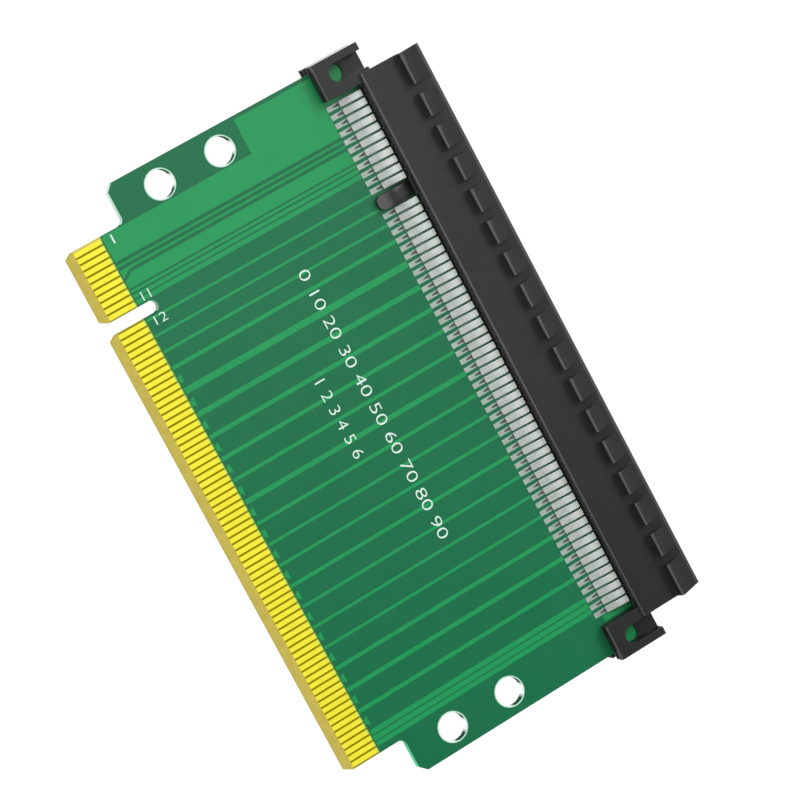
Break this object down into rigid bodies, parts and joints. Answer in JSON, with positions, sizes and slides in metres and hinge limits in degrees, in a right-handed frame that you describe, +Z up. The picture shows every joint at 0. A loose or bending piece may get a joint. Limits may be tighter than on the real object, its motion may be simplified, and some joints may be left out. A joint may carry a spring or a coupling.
{
  "type": "card riser adapter board",
  "caption": "Flat riser board with a gold card edge on one side, a long card slot along the other and mounting holes at both ends.",
  "frame": {"origin": "under the middle of the part, on the surface that it lies on", "axes": "+X along the contact rows, +Y from the card edge to the slot's mouth, +Z up out of the front face"},
  "size_m": [0.098, 0.0598, 0.0109],
  "materials": {
    "board_mask": "glass-filled laminate under a green mask, slightly glossy",
    "masked_copper": "copper that shows paler through the green mask",
    "gold": "hard gold plate, bright",
    "tin": "bright tin plate",
    "contact_metal": "tin-plated spring alloy",
    "black_plastic": "glass-filled moulding, fine matte grain"
  },
  "bodies": {
    "root": {"board": "board_mask", "front_copper": "masked_copper", "rear_copper": "masked_copper", "front_fingers_short": "gold", "front_fingers_long": "gold", "rear_fingers_short": "gold", "rear_fingers_long": "gold", "front_pads_short": "tin", "front_pads_long": "tin", "rear_pads_short": "tin", "rear_pads_long": "tin", "front_contacts_short": "contact_metal", "front_contacts_long": "contact_metal", "rear_contacts_short": "contact_metal", "rear_contacts_long": "contact_metal", "plating_lower_left": "tin", "plating_upper_left": "tin", "plating_lower_right": "tin", "plating_upper_right": "tin", "slot_housing": "black_plastic"}
  },
  "joints": []
}
